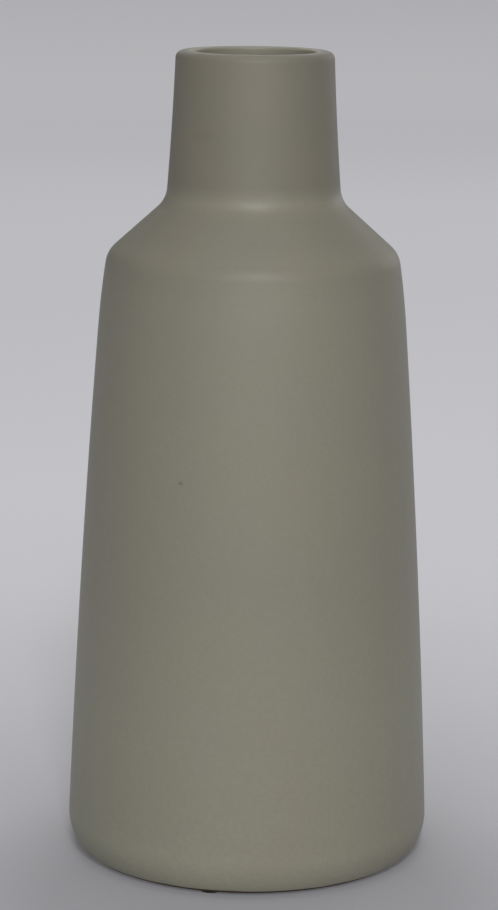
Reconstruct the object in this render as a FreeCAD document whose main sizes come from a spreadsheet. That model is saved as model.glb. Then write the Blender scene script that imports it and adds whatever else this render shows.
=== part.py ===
import FreeCAD, Part
import math
import os
from collections import namedtuple
from types import SimpleNamespace

import Sketcher

# Bottle vase in satin-glazed stoneware, in millimetres.
# The body is one slip-cast shell, turned about Z: a bare foot ring round a shallow recess, a rounded heel,
# a tall wall that draws in as it rises and bows slightly outwards, a sloping shoulder and a narrow neck
# whose lip has a flat top between two rounds. Three coats of glaze lie on it, each with a real thickness: the
# coloured coat outside, over the lip and a little way down inside the neck, the liner inside, and a patch in
# the recess. Felt pads carry it. Z = 0 is the table under the pads, and the Z axis is the axis of the vase.
# The body's own heights are counted from the underside of its foot ring.

SIZES = {
    # Finished outside: the corners that its slope and its bowed stretches would make if nothing were rounded.
    # The wall is measured down at the level of the foot, where the heel has drawn in by the inset.
    "heel_radius": 68.75,
    "foot_inset": 4.6,
    "shoulder_radius": 55.1,
    "wall_height": 225.0,
    "neck_foot_radius": 32.3,
    "shoulder_rise": 20.5,
    "mouth_radius": 29.0,
    "neck_height": 54.5,
    # Rounds between those stretches, and the long bows of the wall and of the neck
    "heel_round": 19.0,
    "wall_bow_radius": 5250.0,
    "ease_radius": 325.0,
    "ease_drop": 26.0,
    "shoulder_round": 10.0,
    "neck_foot_round": 11.0,
    "neck_waist_radius": 1300.0,
    # Rounds of the finished lip, on either side of its flat top
    "lip_outer_round": 2.8,
    "lip_inner_round": 1.0,
    # Fired clay and the coats on it
    "clay_wall": 6.0,
    "bottom_thickness": 5.5,
    "bottom_round": 12.0,
    "outer_coat": 0.4,
    "liner_coat": 0.4,
    "base_coat": 0.4,
    # Where the coloured coat ends: this far down inside the mouth, and this far above the foot
    "coat_return": 30.0,
    "bare_band": 1.0,
    # Foot ring and recess
    "foot_edge_round": 1.0,
    "ring_width": 10.5,
    "ring_inner_round": 0.5,
    "recess_depth": 3.0,
    "recess_round": 1.0,
    "recess_bare_band": 1.0,
    # Felt pads under the ring
    "pad_diameter": 8.0,
    "pad_thickness": 1.0,
    "pad_inset": 1.5,
}
PAD_COUNT = 3
FIRST_PAD_ANGLE = -102.7
FULL_TURN = 360.0
# Points of an edge and axes of a sketch, as the sketcher numbers them
START, END, CENTRE = range(1, 4)
HORIZONTAL_AXIS, VERTICAL_AXIS = range(-1, -3, -1)
LEFT_TURN, RIGHT_TURN = 1, -1
UPRIGHT = FreeCAD.Vector(0, 0, 1)

doc = FreeCAD.newDocument("bottle_vase")
sheet = doc.addObject("Spreadsheet::Sheet", "sizes")
for row, (name, value) in enumerate(SIZES.items(), start=1):
    sheet.set(f"A{row}", name)
    sheet.set(f"B{row}", str(value))
    sheet.setAlias(f"B{row}", name)
doc.recompute()


class Length:
    """A length that keeps its value beside the sheet's words for it, also in sums and differences."""

    def __init__(self, value, words):
        self.value = value
        self.words = words

    def __add__(self, other):
        return Length(self.value + other.value, f"({self.words} + {other.words})")

    def __sub__(self, other):
        return Length(self.value - other.value, f"({self.words} - {other.words})")

    def __truediv__(self, count):
        return Length(self.value / count, f"({self.words} / {count})")


size = SimpleNamespace(**{name: Length(float(sheet.get(name)), f"sizes.{name}") for name in SIZES})

# Heights above the foot, and depths under the finished outside, that several pieces share
foot_radius = size.heel_radius - size.foot_inset
neck_foot_height = size.wall_height + size.shoulder_rise
rim_height = neck_foot_height + size.neck_height
ease_height = size.wall_height - size.ease_drop
return_height = rim_height - size.coat_return
ring_inner_radius = foot_radius - size.ring_width
floor_height = size.recess_depth + size.bottom_thickness
surface = Length(0.0, "0")
clay_outside = surface + size.outer_coat
clay_inside = clay_outside + size.clay_wall
coat_inside = clay_inside + size.outer_coat
liner_inside = clay_inside + size.liner_coat


def point(radius, height):
    """Point of a section, from its radius and its height above the foot."""
    return FreeCAD.Vector(radius, height, 0)


def towards(start, end):
    """Unit vector from one point to another."""
    return (end - start).normalize()


def right_of(direction):
    """Unit vector to the right of a direction of travel."""
    return FreeCAD.Vector(direction.y, -direction.x, 0).normalize()


def circle_centre(start, end, radius, side):
    """Centre of the circle through two points, on the right of the way between them where side is 1."""
    half = (end - start) / 2
    return start + half + right_of(half) * side * math.sqrt(radius ** 2 - half.Length ** 2)


def crossing(origin, direction, centre, radius, near):
    """Point nearest to a given one where a line through an origin crosses a circle."""
    way = FreeCAD.Vector(direction).normalize()
    along = (origin - centre).dot(way)
    root = math.sqrt(along ** 2 - (origin - centre).Length ** 2 + radius ** 2)
    return min((origin + way * (sign * root - along) for sign in (-1, 1)), key=near.distanceToPoint)


def meeting(centre, radius, far_centre, far_radius):
    """Where two circles cross, on the right of the way from the first one's centre to the second's."""
    way = far_centre - centre
    along = (radius ** 2 - far_radius ** 2 + way.Length ** 2) / (2 * way.Length)
    return centre + towards(centre, far_centre) * along + right_of(way) * math.sqrt(radius ** 2 - along ** 2)


def find_guides():
    """Corners of the finished outside, and the centres that its arcs and those of every layer share."""
    foot = point(foot_radius.value, 0)
    heel = point(size.heel_radius.value, 0)
    shoulder = point(size.shoulder_radius.value, size.wall_height.value)
    neck = point(size.neck_foot_radius.value, neck_foot_height.value)
    mouth = point(size.mouth_radius.value, rim_height.value)
    slope_out = right_of(neck - shoulder)
    wall_centre = circle_centre(heel, shoulder, size.wall_bow_radius.value, -1)
    waist_centre = circle_centre(neck, mouth, size.neck_waist_radius.value, 1)
    ease_level = point(0, ease_height.value)
    ease = crossing(ease_level, point(1, 0), wall_centre, size.wall_bow_radius.value, shoulder)
    ease_centre = ease + towards(ease, wall_centre) * size.ease_radius.value
    heel_reach = (size.wall_bow_radius - size.heel_round).value
    heel_centre = meeting(foot, size.heel_round.value, wall_centre, heel_reach)
    shoulder_centre = crossing(shoulder - slope_out * size.shoulder_round.value, neck - shoulder, ease_centre,
                               (size.ease_radius - size.shoulder_round).value, shoulder)
    neck_foot_centre = crossing(shoulder + slope_out * size.neck_foot_round.value, neck - shoulder,
                                waist_centre, (size.neck_waist_radius - size.neck_foot_round).value, neck)
    lip_outer = crossing(point(0, (rim_height - size.lip_outer_round).value), point(1, 0), waist_centre,
                         (size.neck_waist_radius + size.lip_outer_round).value, mouth)
    lip_reach = (size.neck_waist_radius + coat_inside - size.lip_inner_round).value
    lip_inner = crossing(point(0, (rim_height - size.lip_inner_round).value), point(1, 0), waist_centre,
                         lip_reach, mouth)
    return SimpleNamespace(
        foot=foot, heel=heel, shoulder=shoulder, neck=neck, mouth=mouth, ease=ease, slope_out=slope_out,
        wall_centre=wall_centre, waist_centre=waist_centre, ease_centre=ease_centre, heel_centre=heel_centre,
        shoulder_centre=shoulder_centre, neck_foot_centre=neck_foot_centre, lip_outer=lip_outer,
        lip_inner=lip_inner)


guide = find_guides()


def heel_at(depth, height):
    """Point of the heel's arc, a depth under the surface and a height above the foot."""
    reach = (size.heel_round - depth).value
    return crossing(point(0, height.value), point(1, 0), guide.heel_centre, reach, guide.foot)


def neck_at(depth, height):
    """Point of the neck, a depth under the surface and a height above the foot."""
    radius = (size.neck_waist_radius + depth).value
    return crossing(point(0, height.value), point(1, 0), guide.waist_centre, radius, guide.neck)


def wall_point(depth, ahead):
    """Point of the bowed wall, a depth under the surface, in line with its centre and a point ahead."""
    reach = (size.wall_bow_radius - depth).value
    return guide.wall_centre + towards(guide.wall_centre, ahead) * reach


def lip_point(depth, centre):
    """Point where a round of the lip, about its centre, meets the face of the neck at a depth."""
    reach = (size.neck_waist_radius + depth).value
    return guide.waist_centre + towards(guide.waist_centre, centre) * reach


def outer_lip(depth):
    """Upper end of an outer face of the neck."""
    return lip_point(depth, guide.lip_outer)


def inner_lip(depth):
    """Upper end of an inner face of the neck."""
    return lip_point(depth, guide.lip_inner)


def wall_fillet_centre(depth, floor, fillet):
    """Centre of the fillet between a floor and the inside of the wall, a depth under the surface."""
    reach = (size.wall_bow_radius - depth - fillet).value
    return crossing(point(0, (floor + fillet).value), point(1, 0), guide.wall_centre, reach, guide.heel)


Stretch = namedtuple("Stretch", "name start end centre turn radius")
Edge = namedtuple("Edge", "index start end")


def stretches(depth, low, high):
    """The outline a depth under the finished outside, as stretches up from one end to the other."""
    hidden = depth.value
    heel_wall = wall_point(depth, guide.heel_centre)
    wall_ease = wall_point(depth, guide.ease)
    ease_reach = size.ease_radius - depth
    ease_shoulder = guide.ease_centre + towards(guide.ease_centre, guide.shoulder_centre) * ease_reach.value
    shoulder_slope = guide.shoulder_centre + guide.slope_out * (size.shoulder_round.value - hidden)
    slope_neck = guide.neck_foot_centre - guide.slope_out * (size.neck_foot_round.value + hidden)
    waist_reach = size.neck_waist_radius + depth
    neckwards = towards(guide.waist_centre, guide.neck_foot_centre)
    foot_of_neck = guide.waist_centre + neckwards * waist_reach.value
    return [
        Stretch("heel", low, heel_wall, guide.heel_centre, LEFT_TURN, None),
        Stretch("wall", heel_wall, wall_ease, guide.wall_centre, LEFT_TURN, size.wall_bow_radius - depth),
        Stretch("ease", wall_ease, ease_shoulder, guide.ease_centre, LEFT_TURN, ease_reach),
        Stretch("shoulder", ease_shoulder, shoulder_slope, guide.shoulder_centre, LEFT_TURN,
                size.shoulder_round - depth),
        Stretch("slope", shoulder_slope, slope_neck, None, 0, None),
        Stretch("neck_foot", slope_neck, foot_of_neck, guide.neck_foot_centre, RIGHT_TURN,
                size.neck_foot_round + depth),
        Stretch("neck", foot_of_neck, high, guide.waist_centre, RIGHT_TURN, waist_reach),
    ]


def inside_stretches(depth, low, high):
    """The outline of an inside face, whose wall runs down to a floor fillet instead of a heel."""
    heel, wall, *rest = stretches(depth, low, high)
    return [wall._replace(start=low)] + rest


def lip_stretches(cover, far_depth):
    """The outline over the rim, a cover under its surface, to the inner face of the neck at a depth."""
    outer, inner = size.lip_outer_round - cover, size.lip_inner_round - cover
    top_start = guide.lip_outer + point(0, outer.value)
    top_end = guide.lip_inner + point(0, inner.value)
    return [
        Stretch("lip_outside", outer_lip(cover), top_start, guide.lip_outer, LEFT_TURN, outer),
        Stretch("lip_top", top_start, top_end, None, 0, None),
        Stretch("lip_inside", top_end, inner_lip(far_depth), guide.lip_inner, LEFT_TURN, inner),
    ]


def backwards(run):
    """The same stretches, travelled the other way: from lip to foot, or outwards over the lip."""
    return [part._replace(start=part.end, end=part.start, turn=-part.turn) for part in reversed(run)]


class Section:
    """Half section of a turned piece, drawn in its body's XZ plane as one closed run of lines and arcs."""

    def __init__(self, body, name):
        plane = next(part for part in body.Origin.OriginFeatures if part.Role == "XZ_Plane")
        self.sketch = body.newObject("Sketcher::SketchObject", name)
        self.sketch.AttachmentSupport = [(plane, "")]
        self.sketch.MapMode = "FlatFace"
        self.first = None
        self.last = None

    def rule(self, kind, *where):
        """A relation between edges, such as Tangent or Horizontal."""
        self.sketch.addConstraint(Sketcher.Constraint(kind, *where))

    def measure(self, name, length, kind, *where):
        """A dimension, bound to the sheet under a name of its own."""
        index = self.sketch.addConstraint(Sketcher.Constraint(kind, *where, length.value))
        self.sketch.renameConstraint(index, name)
        self.sketch.setExpression(f"Constraints.{name}", length.words)

    def height(self, name, length, index, end):
        """Height of an edge's end above the foot."""
        self.measure(name, length, "DistanceY", HORIZONTAL_AXIS, START, index, end)

    def radius(self, name, length, index, end):
        """Distance of an edge's end from the axis."""
        self.measure(name, length, "DistanceX", HORIZONTAL_AXIS, START, index, end)

    def add(self, start, end, centre=None, turn=0, construction=False):
        """A line, or an arc about a centre. An arc is stored anticlockwise, whichever way it is travelled."""
        if centre is None:
            index = self.sketch.addGeometry(Part.LineSegment(start, end), construction)
            return Edge(index, START, END)
        reach = (start - centre).Length
        angles = [math.atan2(tip.y - centre.y, tip.x - centre.x) for tip in (start, end)]
        arc = Part.ArcOfCircle(Part.Circle(centre, UPRIGHT, reach), *angles[::turn])
        index = self.sketch.addGeometry(arc, construction)
        return Edge(index, *(START, END)[::turn])

    def follow(self, edge, smooth=True):
        """Joins an edge to the one before it, smoothly or at a corner."""
        if self.first is None:
            self.first = edge
        else:
            kind = "Tangent" if smooth else "Coincident"
            self.rule(kind, self.last.index, self.last.end, edge.index, edge.start)
        self.last = edge
        return edge

    def line(self, start, end, smooth=True):
        """A line joined to the edge before it."""
        return self.follow(self.add(start, end), smooth)

    def arc(self, start, end, centre, turn, smooth=True):
        """An arc joined to the edge before it."""
        return self.follow(self.add(start, end, centre, turn), smooth)

    def close(self):
        """Joins the last edge to the first."""
        self.rule("Coincident", self.last.index, self.last.end, self.first.index, self.first.start)

    def draw_guides(self):
        """Construction lines of the finished outside, on which every layer's outline is measured."""
        wall = self.add(guide.heel, guide.shoulder, guide.wall_centre, LEFT_TURN, True)
        slope = self.add(guide.shoulder, guide.neck, construction=True)
        waist = self.add(guide.neck, guide.mouth, guide.waist_centre, RIGHT_TURN, True)
        sole = self.add(point(0, 0), guide.foot, construction=True)
        ease = self.add(guide.wall_centre, guide.ease, construction=True)
        heel_circle = Part.Circle(guide.heel_centre, UPRIGHT, size.heel_round.value)
        heel = Edge(self.sketch.addGeometry(heel_circle, True), None, None)
        span = self.add(guide.wall_centre, wall_point(surface, guide.heel_centre), construction=True)
        for below, above in ((wall, slope), (slope, waist)):
            self.rule("Coincident", below.index, below.end, above.index, above.start)
        self.rule("PointOnObject", wall.index, wall.start, HORIZONTAL_AXIS)
        self.rule("Coincident", sole.index, sole.start, HORIZONTAL_AXIS, START)
        self.rule("PointOnObject", sole.index, sole.end, HORIZONTAL_AXIS)
        self.rule("PointOnObject", sole.index, sole.end, heel.index)
        self.rule("Coincident", span.index, span.start, wall.index, CENTRE)
        self.rule("PointOnObject", span.index, span.end, wall.index)
        self.rule("PointOnObject", span.index, span.end, heel.index)
        self.rule("PointOnObject", heel.index, CENTRE, span.index)
        self.rule("Coincident", ease.index, ease.start, wall.index, CENTRE)
        self.rule("PointOnObject", ease.index, ease.end, wall.index)
        self.radius("heel_radius", size.heel_radius, wall.index, wall.start)
        self.radius("foot_radius", foot_radius, sole.index, sole.end)
        self.measure("heel_round", size.heel_round, "Radius", heel.index)
        self.radius("shoulder_radius", size.shoulder_radius, slope.index, slope.start)
        self.height("wall_height", size.wall_height, slope.index, slope.start)
        self.radius("neck_foot_radius", size.neck_foot_radius, slope.index, slope.end)
        self.height("neck_foot_height", neck_foot_height, slope.index, slope.end)
        self.radius("mouth_radius", size.mouth_radius, waist.index, waist.end)
        self.height("rim_height", rim_height, waist.index, waist.end)
        self.height("ease_height", ease_height, ease.index, ease.end)
        self.measure("wall_bow", size.wall_bow_radius, "Radius", wall.index)
        self.measure("neck_waist", size.neck_waist_radius, "Radius", waist.index)
        self.guides = {"heel": heel, "wall": wall, "slope": slope, "neck": waist, "ease": ease}

    def draw(self, label, depth, run, smooth=True):
        """Draws stretches of one layer's outline and ties them to the guides at their depth."""
        edges = {}
        for number, part in enumerate(run):
            joined = smooth or number > 0
            if part.centre is None:
                edge = self.line(part.start, part.end, joined)
                self.tie_line(f"{label}_{part.name}", depth, edge, self.guides[part.name])
            else:
                edge = self.arc(part.start, part.end, part.centre, part.turn, joined)
            if part.radius is not None:
                self.measure(f"{label}_{part.name}", part.radius, "Radius", edge.index)
            if part.name in ("heel", "wall", "neck"):
                self.rule("Coincident", edge.index, CENTRE, self.guides[part.name].index, CENTRE)
            edges[part.name] = edge
        if "ease" in edges:
            upwards = run[-1].name == "neck"
            wall = edges["wall"]
            top = wall.end if upwards else wall.start
            self.rule("PointOnObject", wall.index, top, self.guides["ease"].index)
        return edges

    def tie_line(self, name, depth, edge, line):
        """Keeps an edge parallel to a guide line, at its depth."""
        self.rule("Parallel", edge.index, line.index)
        if depth is surface:
            self.rule("PointOnObject", line.index, line.end, edge.index)
        else:
            self.measure(name, depth, "Distance", line.index, line.end, edge.index)

    def draw_lip(self, label, cover, run):
        """Draws the outline over the rim, whose flat top lies a cover under the finished one."""
        for part in run:
            if part.centre is None:
                edge = self.line(part.start, part.end)
                self.rule("Horizontal", edge.index)
                self.height(f"{label}_{part.name}", rim_height - cover, edge.index, edge.start)
            else:
                edge = self.arc(part.start, part.end, part.centre, part.turn)
                self.measure(f"{label}_{part.name}", part.radius, "Radius", edge.index)

    def draw_floor(self, label, depth, floor, fillet, inwards, smooth=True):
        """Floor and its fillet, inwards to the axis from the wall or outwards to it."""
        centre = wall_fillet_centre(depth, floor, fillet)
        low = centre - point(0, fillet.value)
        axis = point(0, floor.value)
        if inwards:
            arc = self.arc(wall_point(depth, centre), low, centre, RIGHT_TURN)
            flat = self.line(low, axis)
            axis_end = flat.end
        else:
            flat = self.line(axis, low, smooth)
            arc = self.arc(low, wall_point(depth, centre), centre, LEFT_TURN)
            axis_end = flat.start
        self.measure(f"{label}_floor_round", fillet, "Radius", arc.index)
        self.rule("Horizontal", flat.index)
        self.rule("PointOnObject", flat.index, axis_end, VERTICAL_AXIS)
        self.height(f"{label}_floor_height", floor, flat.index, axis_end)

    def draw_recess(self, label, ceiling, inner_radius, fillet, low):
        """Ceiling of the recess from the axis, its fillet, and the inside of the ring down to a height."""
        top, reach, corner = ceiling.value, inner_radius.value, fillet.value
        flat = self.line(point(0, top), point(reach - corner, top), False)
        arc = self.arc(point(reach - corner, top), point(reach, top - corner),
                       point(reach - corner, top - corner), RIGHT_TURN)
        side = self.line(point(reach, top - corner), point(reach, low.value))
        self.rule("Horizontal", flat.index)
        self.rule("PointOnObject", flat.index, flat.start, VERTICAL_AXIS)
        self.height(f"{label}_ceiling", ceiling, flat.index, flat.start)
        self.measure(f"{label}_round", fillet, "Radius", arc.index)
        self.rule("Vertical", side.index)
        self.radius(f"{label}_inner_radius", inner_radius, side.index, side.start)
        return side


def new_piece(label):
    """A body of its own, standing on the pads."""
    body = doc.addObject("PartDesign::Body", label)
    body.Label = label
    body.setExpression("Placement.Base.z", "sizes.pad_thickness")
    return body


def turn_about_axis(body, section):
    """Revolves a closed half section once round the axis."""
    doc.recompute()
    turned = body.newObject("PartDesign::Revolution", f"{body.Label}_turned")
    turned.Profile = section.sketch
    turned.ReferenceAxis = (section.sketch, ["V_Axis"])
    turned.Angle = FULL_TURN
    doc.recompute()


def make_clay_body():
    """The cast shell: recess, foot ring, bare foot edge, outside, lip, inside and floor."""
    body = new_piece("clay_body")
    section = Section(body, "clay_section")
    section.draw_guides()
    section.draw_recess("recess", size.recess_depth, ring_inner_radius, size.recess_round,
                        size.ring_inner_round)
    inner, edge = size.ring_inner_round.value, size.foot_edge_round.value
    ring = point(ring_inner_radius.value, 0)
    ring_round = section.arc(ring + point(0, inner), ring + point(inner, 0), ring + point(inner, inner),
                             LEFT_TURN)
    section.measure("ring_inner_round", size.ring_inner_round, "Radius", ring_round.index)
    edge_centre = heel_at(clay_outside + size.foot_edge_round, size.foot_edge_round)
    heel_start = edge_centre + towards(guide.heel_centre, edge_centre) * edge
    flat = section.line(ring + point(inner, 0), point(edge_centre.x, 0))
    section.rule("PointOnObject", flat.index, flat.start, HORIZONTAL_AXIS)
    section.rule("PointOnObject", flat.index, flat.end, HORIZONTAL_AXIS)
    foot_edge = section.arc(point(edge_centre.x, 0), heel_start, edge_centre, LEFT_TURN)
    section.measure("foot_edge_round", size.foot_edge_round, "Radius", foot_edge.index)
    section.draw("outside", clay_outside, stretches(clay_outside, heel_start, outer_lip(clay_outside)))
    section.draw_lip("clay", clay_outside, lip_stretches(clay_outside, clay_inside))
    fillet_centre = wall_fillet_centre(clay_inside, floor_height, size.bottom_round)
    low = wall_point(clay_inside, fillet_centre)
    section.draw("inside", clay_inside,
                 backwards(inside_stretches(clay_inside, low, inner_lip(clay_inside))))
    section.draw_floor("inside", clay_inside, floor_height, size.bottom_round, True)
    section.line(point(0, floor_height.value), point(0, size.recess_depth.value), False)
    section.close()
    turn_about_axis(body, section)
    return body


def make_outer_glaze():
    """The coloured coat: up the outside from the bare band, over the lip and down to the liner."""
    body = new_piece("outer_glaze")
    section = Section(body, "coat_section")
    section.draw_guides()
    low = heel_at(surface, size.bare_band)
    edges = section.draw("coat", surface, stretches(surface, low, outer_lip(surface)))
    section.height("bare_band", size.bare_band, edges["heel"].index, edges["heel"].start)
    section.draw_lip("coat", surface, lip_stretches(surface, coat_inside))
    end = neck_at(coat_inside, return_height)
    inner_neck = backwards(stretches(coat_inside, low, inner_lip(coat_inside)))[:1]
    inner_neck = [inner_neck[0]._replace(end=end)]
    section.draw("return", coat_inside, inner_neck)
    back = neck_at(clay_inside, return_height)
    shelf = section.line(end, back, False)
    section.rule("Horizontal", shelf.index)
    section.height("return_height", return_height, shelf.index, shelf.start)
    under_neck = stretches(clay_inside, low, inner_lip(clay_inside))[-1:]
    section.draw("under_return", clay_inside, [under_neck[0]._replace(start=back)], False)
    section.draw_lip("under_coat", clay_outside, backwards(lip_stretches(clay_outside, clay_inside)))
    foot = low + towards(low, guide.heel_centre) * clay_outside.value
    under = backwards(stretches(clay_outside, foot, outer_lip(clay_outside)))
    edges = section.draw("under_coat", clay_outside, under)
    rim = section.line(foot, low, False)
    section.rule("PointOnObject", edges["heel"].index, CENTRE, rim.index)
    section.close()
    turn_about_axis(body, section)
    return body


def make_inner_glaze():
    """The liner: from the end of the coloured coat down the inside and across the floor."""
    body = new_piece("inner_glaze")
    section = Section(body, "liner_section")
    section.draw_guides()
    faces = ((clay_inside, floor_height, size.bottom_round),
             (liner_inside, floor_height + size.liner_coat, size.bottom_round - size.liner_coat))
    (clay, clay_floor, clay_fillet), (face, face_floor, face_fillet) = faces
    low = wall_point(clay, wall_fillet_centre(clay, clay_floor, clay_fillet))
    run = inside_stretches(clay, low, neck_at(clay, return_height))
    edges = section.draw("under_liner", clay, backwards(run))
    section.height("return_height", return_height, edges["neck"].index, edges["neck"].start)
    section.draw_floor("under_liner", clay, clay_floor, clay_fillet, True)
    section.line(point(0, clay_floor.value), point(0, face_floor.value), False)
    section.draw_floor("liner", face, face_floor, face_fillet, False, False)
    low = wall_point(face, wall_fillet_centre(face, face_floor, face_fillet))
    run = inside_stretches(face, low, neck_at(face, return_height))
    section.draw("liner", face, run)
    shelf = section.line(neck_at(face, return_height), neck_at(clay, return_height), False)
    section.rule("Horizontal", shelf.index)
    section.close()
    turn_about_axis(body, section)
    return body


def make_base_glaze():
    """The patch of glaze in the recess, with the ring left bare."""
    body = new_piece("base_glaze")
    section = Section(body, "patch_section")
    side = section.draw_recess("clay", size.recess_depth, ring_inner_radius, size.recess_round,
                               size.recess_bare_band)
    section.height("recess_bare_band", size.recess_bare_band, side.index, side.end)
    low = size.recess_bare_band.value
    reach = ring_inner_radius.value
    inner = (ring_inner_radius - size.base_coat).value
    top = (size.recess_depth - size.base_coat).value
    corner = (size.recess_round - size.base_coat).value
    lower = section.line(point(reach, low), point(inner, low), False)
    section.rule("Horizontal", lower.index)
    face_side = section.line(point(inner, low), point(inner, top - corner), False)
    section.rule("Vertical", face_side.index)
    section.radius("face_radius", ring_inner_radius - size.base_coat, face_side.index, face_side.start)
    arc = section.arc(point(inner, top - corner), point(inner - corner, top),
                      point(inner - corner, top - corner), LEFT_TURN)
    section.measure("face_round", size.recess_round - size.base_coat, "Radius", arc.index)
    face = section.line(point(inner - corner, top), point(0, top))
    section.rule("Horizontal", face.index)
    section.rule("PointOnObject", face.index, face.end, VERTICAL_AXIS)
    section.height("face_height", size.recess_depth - size.base_coat, face.index, face.end)
    section.line(point(0, top), point(0, size.recess_depth.value), False)
    section.close()
    turn_about_axis(body, section)
    return body


def make_pad(number):
    """One felt disc under the foot ring."""
    body = doc.addObject("PartDesign::Body", f"felt_pad_{number}")
    body.Label = f"felt_pad_{number}"
    plane = next(part for part in body.Origin.OriginFeatures if part.Role == "XY_Plane")
    sketch = body.newObject("Sketcher::SketchObject", f"pad_circle_{number}")
    sketch.AttachmentSupport = [(plane, "")]
    sketch.MapMode = "FlatFace"
    circle = sketch.addGeometry(Part.Circle(point(0, 0), UPRIGHT, size.pad_diameter.value / 2), False)
    sketch.addConstraint(Sketcher.Constraint("Coincident", circle, CENTRE, HORIZONTAL_AXIS, START))
    index = sketch.addConstraint(Sketcher.Constraint("Diameter", circle, size.pad_diameter.value))
    sketch.setExpression(f"Constraints[{index}]", size.pad_diameter.words)
    disc = body.newObject("PartDesign::Pad", f"pad_disc_{number}")
    disc.Profile = sketch
    disc.setExpression("Length", size.pad_thickness.words)
    angle = FIRST_PAD_ANGLE + (number - 1) * FULL_TURN / PAD_COUNT
    centre_radius = foot_radius - size.pad_inset - size.pad_diameter / 2
    body.setExpression("Placement.Base.x", f"{centre_radius.words} * cos({angle} deg)")
    body.setExpression("Placement.Base.y", f"{centre_radius.words} * sin({angle} deg)")
    return body


pieces = [make_clay_body(), make_outer_glaze(), make_inner_glaze(), make_base_glaze()]
pieces += [make_pad(number) for number in range(1, PAD_COUNT + 1)]
doc.recompute()

for item in doc.Objects:
    if "Invalid" in item.State or "Error" in item.State:
        raise RuntimeError(f"{item.Label} did not build: {item.State}")
    if item.isDerivedFrom("Sketcher::SketchObject") and not item.FullyConstrained:
        raise RuntimeError(f"{item.Label} is not fully constrained")
for piece in pieces:
    if piece.Shape.isNull() or not piece.Shape.isValid():
        raise RuntimeError(f"{piece.Label} has no valid shape")

os.makedirs("parts", exist_ok=True)
for piece in pieces:
    piece.Shape.exportStep(f"parts/{piece.Label}.step")
    box = piece.Shape.optimalBoundingBox()
    print(f"{piece.Label}: {len(piece.Shape.Solids)} solid, {piece.Shape.Volume / 1000:.2f} cm3, "
          f"radius {box.XMax:.2f}, z {box.ZMin:.2f} to {box.ZMax:.2f}")
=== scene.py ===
# %% [markdown]
# # A bottle vase in satin-glazed stoneware
# This lesson dresses a measured model of a bottle vase, 30 cm tall. The model was drawn beforehand and comes
# in as a fixed frame of seven solids: the fired clay, three coats of glaze and three felt pads.
# Each cell makes one thing: the camera, the paper it stands on, the light, a piece, or a finish. The frame
# gives every place in metres, with the table at height zero and the axis of the vase on the Z axis, so
# nothing has to be fitted by eye.

import cmath
import math

import bpy
import numpy as np
from mathutils import Matrix, Vector


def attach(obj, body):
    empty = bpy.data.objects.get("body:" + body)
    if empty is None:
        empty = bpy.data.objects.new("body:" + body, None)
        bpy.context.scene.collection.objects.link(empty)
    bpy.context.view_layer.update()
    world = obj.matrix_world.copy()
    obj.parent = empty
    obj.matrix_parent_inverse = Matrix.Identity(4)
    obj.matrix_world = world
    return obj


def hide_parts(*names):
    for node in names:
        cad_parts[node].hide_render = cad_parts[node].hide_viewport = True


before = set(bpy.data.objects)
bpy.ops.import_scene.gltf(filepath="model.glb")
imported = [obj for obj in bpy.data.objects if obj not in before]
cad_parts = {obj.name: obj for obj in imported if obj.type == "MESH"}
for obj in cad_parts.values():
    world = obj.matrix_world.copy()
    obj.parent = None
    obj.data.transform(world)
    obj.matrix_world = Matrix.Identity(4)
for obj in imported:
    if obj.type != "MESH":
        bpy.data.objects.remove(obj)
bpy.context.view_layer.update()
print("nodes:", ", ".join(sorted(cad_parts)))

# %% [markdown]
# ## The camera
# A product photograph of a vase is taken from a little above, with a long lens, so that its sides look
# straight. The lens, the place and the tilt below give the outline of the photograph to less than a pixel in
# most rows, and less closely at the heel.
# A camera could be aimed with a constraint, but three unit vectors in a matrix say exactly where it points,
# including the half degree by which it was held askew.

# %% Camera
CAMERA_PLACE = Vector((0.0, -1.063306, 0.371695))
CAMERA_DOWN, CAMERA_LEFT, CAMERA_TILT = (math.radians(angle) for angle in (11.745, 0.0363, 0.6395))
IMAGE_HEIGHT = 910
FOCAL_PIXELS = 2899.038
FILM_MM = 36.0

scene = bpy.context.scene
scene.view_settings.view_transform = "Standard"
forward = Vector((-math.sin(CAMERA_LEFT) * math.cos(CAMERA_DOWN),
                  math.cos(CAMERA_LEFT) * math.cos(CAMERA_DOWN), -math.sin(CAMERA_DOWN)))
level = Vector((math.cos(CAMERA_LEFT), math.sin(CAMERA_LEFT), 0.0))
upright = level.cross(forward)
right = level * math.cos(CAMERA_TILT) + upright * math.sin(CAMERA_TILT)
up = upright * math.cos(CAMERA_TILT) - level * math.sin(CAMERA_TILT)

lens = bpy.data.cameras.new("product_camera")
lens.sensor_width = FILM_MM
lens.lens = FOCAL_PIXELS * FILM_MM / IMAGE_HEIGHT
lens.clip_start, lens.clip_end = 0.01, 100.0
camera = bpy.data.objects.new("product_camera", lens)
camera.matrix_world = Matrix.Translation(CAMERA_PLACE) @ Matrix((right, up, -forward)).transposed().to_4x4()
scene.collection.objects.link(camera)
scene.camera = camera
print(f"lens {lens.lens:.1f} mm, {CAMERA_PLACE.length:.2f} m from the foot of the vase")

# %% [markdown]
# ## Small helpers for materials
# Colours are written as sRGB hex values, the way a paint chart or a picture editor gives them. Blender
# counts in linear light, so one function turns them over. A second function adds a node, sets it and links
# it: every material below is built with it, from the texture to the shader. The third makes a colour ramp
# from a short table, which shows at a glance how a tone changes over a distance or a height. The last one
# tells rays that only look from rays that light, so that a background can be pale without lighting anything.

# %% Colours and nodes
def colour(hex_code):
    """Linear red, green, blue and alpha of an sRGB hex value: each channel through the sRGB curve, undone."""
    shares = np.array([int(hex_code[i:i + 2], 16) for i in (1, 3, 5)]) / 255
    linear = np.where(shares <= 0.04045, shares / 12.92, ((shares + 0.055) / 1.055) ** 2.4)
    return (*linear.tolist(), 1.0)


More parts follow.
